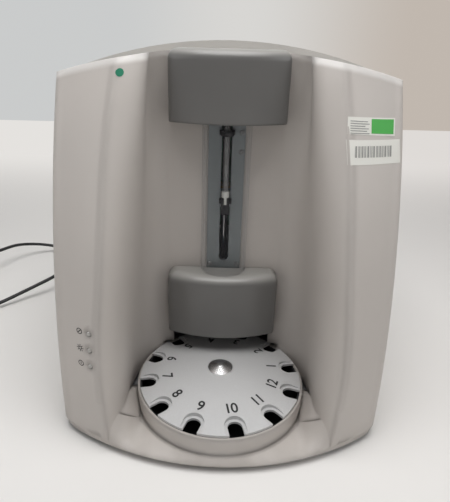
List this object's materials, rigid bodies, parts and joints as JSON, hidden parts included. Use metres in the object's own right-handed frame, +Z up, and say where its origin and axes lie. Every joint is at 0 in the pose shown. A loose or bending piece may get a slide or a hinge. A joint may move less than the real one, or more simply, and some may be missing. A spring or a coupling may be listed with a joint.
{
  "type": "automated cell counter",
  "caption": "Benchtop cell counter with an arched casing, a valley between two pillars, a sample carousel, a clear probe column, grey hoods and a mains cord.",
  "frame": {"origin": "middle of the footprint, without the mains cord, on the surface the feet stand on", "axes": "+Z up, +X to the user's right, +Y from the front towards the rear"},
  "size_m": [0.6999, 0.58, 0.438],
  "materials": {
    "casing_ivory": "satin",
    "cover_grey": "satin",
    "hood_grey": "satin",
    "carousel_grey": "satin",
    "knob_grey": "satin",
    "clear_tube": "clear",
    "clear_fluid_tube": "clear",
    "backplate_grey": "satin",
    "dark_plastic": "satin",
    "black_rubber": "matte",
    "panel_steel": "satin",
    "bare_steel": "satin",
    "bright_steel": "polished",
    "aluminium": "satin",
    "brass": "satin",
    "lens_green": "gloss",
    "board_green": "gloss",
    "white_plastic": "satin",
    "motor_black": "satin",
    "syringe_glass": "clear",
    "cord_black": "satin"
  },
  "bodies": {
    "casing": {"base_pan": "bare_steel", "camera": "motor_black", "carousel_motor": "motor_black", "carousel_well": "dark_plastic", "chassis_plate": "bare_steel", "clear_shield": "clear_tube", "data_port": "bare_steel", "fan_frame": "dark_plastic", "fan_guard": "bright_steel", "flow_cell": "clear_fluid_tube", "front_fascia": "casing_ivory", "guide_rods": "bright_steel", "indicator_board": "board_green", "indicator_lenses": "lens_green", "lens_tube": "motor_black", "lift_bottom_bracket": "aluminium", "lift_motor": "motor_black", "lift_top_bracket": "aluminium", "light_source": "aluminium", "lower_cover": "hood_grey", "main_board": "board_green", "mains_connector": "cord_black", "mains_cord_coil": "cord_black", "mains_cord_run": "cord_black", "mains_cord_tail": "cord_black", "mains_plug": "cord_black", "optics_bench": "aluminium", "panel_screws": "bright_steel", "power_inlet": "dark_plastic", "power_supply": "bare_steel", "probe_backplate": "backplate_grey", "pump_frame": "aluminium", "pump_motor": "motor_black", "reagent_fittings": "white_plastic", "rear_cover": "cover_grey", "rear_panel": "panel_steel", "rubber_feet": "black_rubber", "screw_bearings": "bare_steel", "selector_valve": "white_plastic", "switch_body": "dark_plastic", "syringe_barrel": "syringe_glass", "tube_guide": "dark_plastic", "upper_cap": "hood_grey", "valve_motor": "motor_black", "wash_station": "white_plastic"},
    "carousel": {"carousel_disc": "carousel_grey", "carousel_knob": "knob_grey", "carousel_hub": "aluminium"},
    "probe": {"probe_carriage": "white_plastic", "tube_fitting": "white_plastic", "sample_tube": "clear_fluid_tube", "probe_arm": "aluminium", "probe_needle": "bright_steel", "lead_nut": "brass"},
    "lift_screw": {"lead_screw": "bright_steel"},
    "plunger": {"syringe_plunger": "white_plastic", "plunger_carriage": "aluminium"},
    "pump_screw": {"plunger_screw": "bright_steel"},
    "fan": {"fan_rotor": "dark_plastic"},
    "rocker": {"power_rocker": "dark_plastic"}
  },
  "joints": [
    {"name": "carousel_spin", "type": "hinge", "parent": "casing", "child": "carousel", "pos_m": [0, -0.094, 0.041], "axis": [0, 0, 1], "continuous": true},
    {"name": "probe_lift", "type": "slide", "parent": "casing", "child": "probe", "axis": [0, 0, 1], "range_m": [-0.06, 0]},
    {"name": "lift_screw_spin", "type": "hinge", "parent": "casing", "child": "lift_screw", "pos_m": [0, 0.014, 0.26], "axis": [0, 0, 1], "range_deg": [-2702, 2]},
    {"name": "syringe_stroke", "type": "slide", "parent": "casing", "child": "plunger", "axis": [0, 0, 1], "range_m": [-0.05, 0]},
    {"name": "pump_screw_spin", "type": "hinge", "parent": "casing", "child": "pump_screw", "pos_m": [-0.1, 0.07, 0.087], "axis": [0, 0, 1], "range_deg": [-2252, 2]},
    {"name": "fan_spin", "type": "hinge", "parent": "casing", "child": "fan", "pos_m": [0.075, 0.178, 0.3], "axis": [0, 1, 0], "continuous": true},
    {"name": "rocker_tilt", "type": "hinge", "parent": "casing", "child": "rocker", "pos_m": [-0.12, 0.1885, 0.104], "axis": [1, 0, 0], "range_deg": [-12, 0]}
  ],
  "couplings": [
    {"joint": "lift_screw_spin", "follows": "probe_lift", "rad_per_m": 785.4},
    {"joint": "pump_screw_spin", "follows": "syringe_stroke", "rad_per_m": 785.4}
  ]
}
